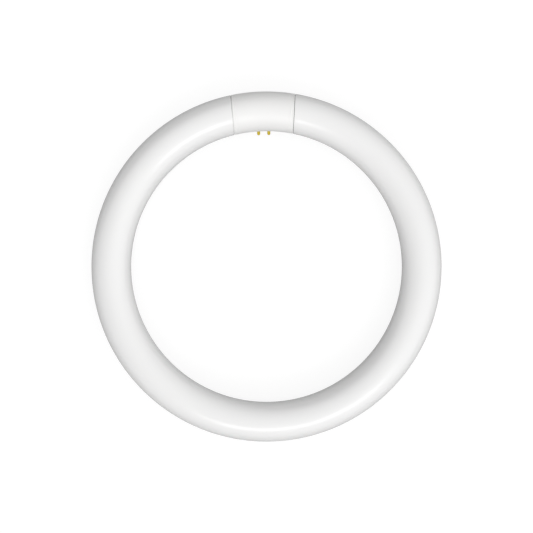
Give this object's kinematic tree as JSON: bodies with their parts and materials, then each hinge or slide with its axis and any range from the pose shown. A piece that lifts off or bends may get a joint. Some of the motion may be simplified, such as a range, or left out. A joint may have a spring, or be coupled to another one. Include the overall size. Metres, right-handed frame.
{
  "type": "circular LED tube",
  "caption": "Ring-shaped opal tube lamp whose ends meet in a moulded cap with four angled contact pins.",
  "frame": {"origin": "on the ring's axis, at the height of the pins' lowest points", "axes": "+Z along the ring's axis towards the front, +Y from the middle to the cap, +X to the right seen from the front"},
  "size_m": [0.27, 0.27, 0.0328],
  "materials": {
    "opal_tube": "opal, glossy",
    "cap_plastic": "moulded, semi-gloss",
    "pin_brass": "drawn brass",
    "board_laminate": "lacquered laminate",
    "capacitor_sleeve": "shrunk sleeve",
    "film_case": "moulded case",
    "package_epoxy": "moulded epoxy",
    "varistor_coat": "dipped coat",
    "resistor_coat": "flameproof coat",
    "ferrite": "sintered ferrite",
    "coil_tape": "taped winding",
    "wire_red": "insulated wire",
    "wire_white": "insulated wire"
  },
  "bodies": {
    "root": {"lamp_tube": "opal_tube", "cap_front": "cap_plastic", "cap_rear": "cap_plastic", "contact_pin_1": "pin_brass", "contact_pin_2": "pin_brass", "contact_pin_3": "pin_brass", "contact_pin_4": "pin_brass", "driver_board": "board_laminate", "smoothing_capacitor": "capacitor_sleeve", "output_capacitor": "capacitor_sleeve", "filter_capacitor": "film_case", "bridge_rectifier": "package_epoxy", "driver_chip": "package_epoxy", "varistor": "varistor_coat", "fuse_resistor": "resistor_coat", "transformer_core": "ferrite", "transformer_coil": "coil_tape", "lead_wire_positive": "wire_red", "lead_wire_negative": "wire_white"}
  },
  "joints": []
}
